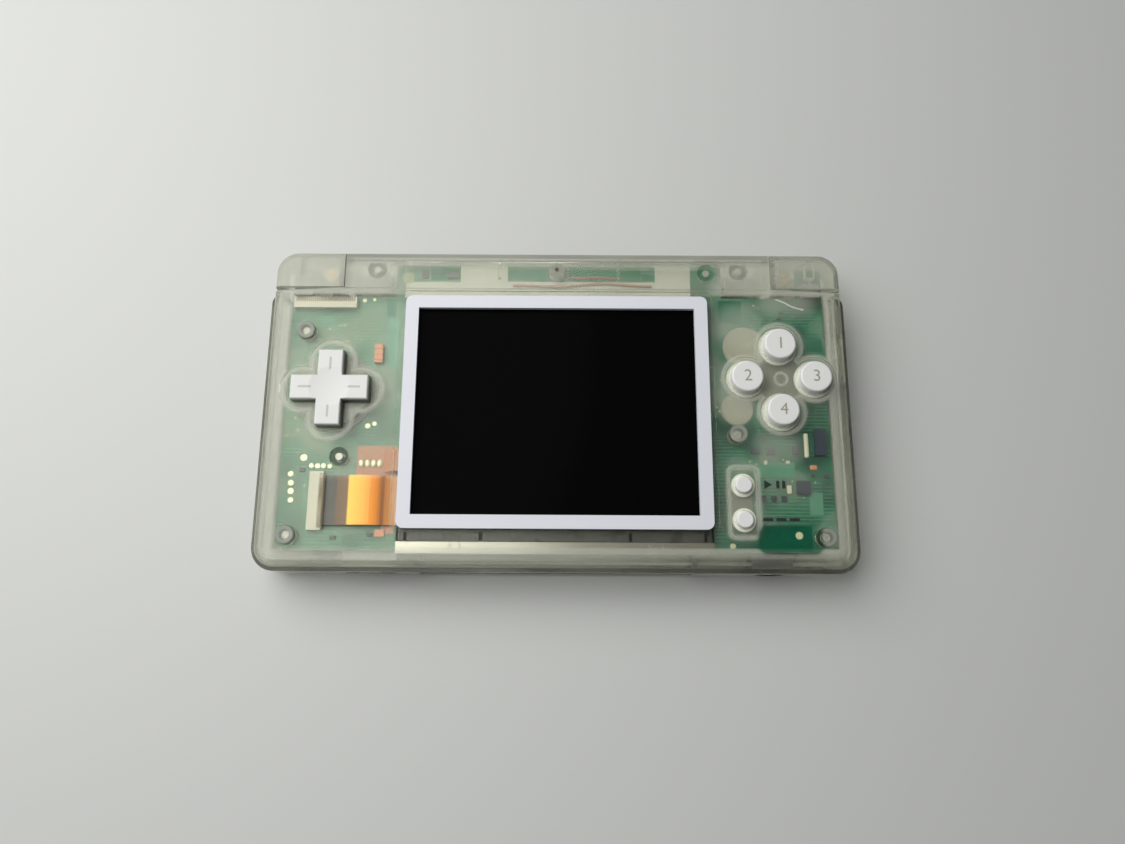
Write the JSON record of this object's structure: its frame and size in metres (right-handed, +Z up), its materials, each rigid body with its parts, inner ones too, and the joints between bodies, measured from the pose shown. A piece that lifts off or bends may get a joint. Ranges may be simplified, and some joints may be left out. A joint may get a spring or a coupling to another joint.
{
  "type": "handheld game console",
  "caption": "Flat handheld game console in a clear casing, with a framed touch screen, a cross pad, face buttons, shoulder buttons and rear strip, and a board inside.",
  "frame": {"origin": "on the table, under the middle of the console's footprint", "axes": "+X to the player's right, +Y from the player to the rear strip, +Z up out of the screen"},
  "size_m": [0.133, 0.0738, 0.0148],
  "materials": {
    "clear_shell": "clear, slightly hazy",
    "soft_foot": "matte",
    "screw_steel": "satin",
    "battery_wrap": "matte",
    "gold_contact": "satin",
    "white_frame": "satin",
    "black_foam": "matte",
    "black_screen": "glossy",
    "lcd_dark": "satin",
    "tray_metal": "satin",
    "orange_flex": "satin",
    "brown_flex": "satin",
    "ivory_socket": "matte",
    "board_green": "satin",
    "black_chip": "matte",
    "part_blue_black": "matte",
    "red_coil": "satin",
    "shield_metal": "satin",
    "red_wire": "satin",
    "white_button": "satin",
    "milky_rubber": "matte",
    "pin_brass": "satin",
    "spring_steel": "satin",
    "switch_grey": "matte",
    "jack_black": "matte",
    "port_metal": "satin",
    "cage_metal": "satin",
    "speaker_black": "matte",
    "mic_metal": "satin",
    "boot_grey": "matte"
  },
  "bodies": {
    "console": {"upper_shell": "clear_shell", "lower_shell": "clear_shell", "rubber_feet": "soft_foot", "case_screws": "screw_steel", "board_screws": "screw_steel", "battery_cover": "clear_shell", "battery_cover_screw": "screw_steel", "battery_pack": "battery_wrap", "battery_contacts": "gold_contact", "screen_bezel": "white_frame", "screen_gasket": "black_foam", "touch_panel": "black_screen", "lcd_panel": "lcd_dark", "lcd_frame": "tray_metal", "screen_flex": "orange_flex", "touch_flex": "brown_flex", "flex_connector_front": "ivory_socket", "flex_connector_rear": "ivory_socket", "main_board": "board_green", "processor_chips": "black_chip", "board_parts": "part_blue_black", "red_inductor": "red_coil", "radio_module": "shield_metal", "jumper_wire": "red_wire", "dpad_membrane": "milky_rubber", "face_button_membrane": "milky_rubber", "menu_button_membrane": "milky_rubber", "trigger_pins": "pin_brass", "trigger_switches": "switch_grey", "power_switch": "switch_grey", "volume_switch": "switch_grey", "headphone_jack": "jack_black", "charge_port": "port_metal", "card_slot": "cage_metal", "cartridge_connector": "black_chip", "speaker": "speaker_black", "speaker_wires": "red_wire", "microphone": "mic_metal", "microphone_boot": "boot_grey"},
    "dpad_pivot": {"dpad_pivot": "shield_metal"},
    "dpad": {"dpad": "white_button"},
    "face_button_rear": {"face_button_rear": "white_button"},
    "face_button_left": {"face_button_left": "white_button"},
    "face_button_right": {"face_button_right": "white_button"},
    "face_button_front": {"face_button_front": "white_button"},
    "start_button": {"start_button": "white_button"},
    "select_button": {"select_button": "white_button"},
    "left_trigger": {"left_trigger": "clear_shell", "left_trigger_spring": "spring_steel"},
    "right_trigger": {"right_trigger": "clear_shell", "right_trigger_spring": "spring_steel"},
    "power_slider": {"power_slider": "clear_shell"},
    "volume_slider": {"volume_slider": "clear_shell"}
  },
  "joints": [
    {"name": "dpad_tilt_front_rear", "type": "hinge", "parent": "console", "child": "dpad_pivot", "pos_m": [-0.0509, 0.00355, 0.01057], "axis": [1, 0, 0], "range_deg": [-3.5, 3.5], "stiffness_Nm_per_rad": 0.12, "deforming": ["dpad_membrane"]},
    {"name": "dpad_tilt_left_right", "type": "hinge", "parent": "dpad_pivot", "child": "dpad", "pos_m": [-0.0509, 0.00355, 0.01057], "axis": [0, 1, 0], "range_deg": [-3.5, 3.5], "stiffness_Nm_per_rad": 0.12, "deforming": ["dpad_membrane"]},
    {"name": "face_button_rear_press", "type": "slide", "parent": "console", "child": "face_button_rear", "axis": [0, 0, -1], "range_m": [0, 0.0009], "stiffness_N_per_m": 900, "deforming": ["face_button_membrane"]},
    {"name": "face_button_left_press", "type": "slide", "parent": "console", "child": "face_button_left", "axis": [0, 0, -1], "range_m": [0, 0.0009], "stiffness_N_per_m": 900, "deforming": ["face_button_membrane"]},
    {"name": "face_button_right_press", "type": "slide", "parent": "console", "child": "face_button_right", "axis": [0, 0, -1], "range_m": [0, 0.0009], "stiffness_N_per_m": 900, "deforming": ["face_button_membrane"]},
    {"name": "face_button_front_press", "type": "slide", "parent": "console", "child": "face_button_front", "axis": [0, 0, -1], "range_m": [0, 0.0009], "stiffness_N_per_m": 900, "deforming": ["face_button_membrane"]},
    {"name": "start_button_press", "type": "slide", "parent": "console", "child": "start_button", "axis": [0, 0, -1], "range_m": [0, 0.0004], "stiffness_N_per_m": 900, "deforming": ["menu_button_membrane"]},
    {"name": "select_button_press", "type": "slide", "parent": "console", "child": "select_button", "axis": [0, 0, -1], "range_m": [0, 0.0004], "stiffness_N_per_m": 900, "deforming": ["menu_button_membrane"]},
    {"name": "left_trigger_pull", "type": "hinge", "parent": "console", "child": "left_trigger", "pos_m": [-0.0529, 0.0315, 0.0107], "axis": [0, 0, 1], "range_deg": [0, 4], "stiffness_Nm_per_rad": 0.1},
    {"name": "right_trigger_pull", "type": "hinge", "parent": "console", "child": "right_trigger", "pos_m": [0.0529, 0.0315, 0.0107], "axis": [0, 0, -1], "range_deg": [0, 4], "stiffness_Nm_per_rad": 0.1},
    {"name": "power_slide", "type": "slide", "parent": "console", "child": "power_slider", "axis": [0, 1, 0], "range_m": [0, 0.0022], "stiffness_N_per_m": 300},
    {"name": "volume_slide", "type": "slide", "parent": "console", "child": "volume_slider", "axis": [1, 0, 0], "range_m": [-0.003, 0.003]}
  ]
}
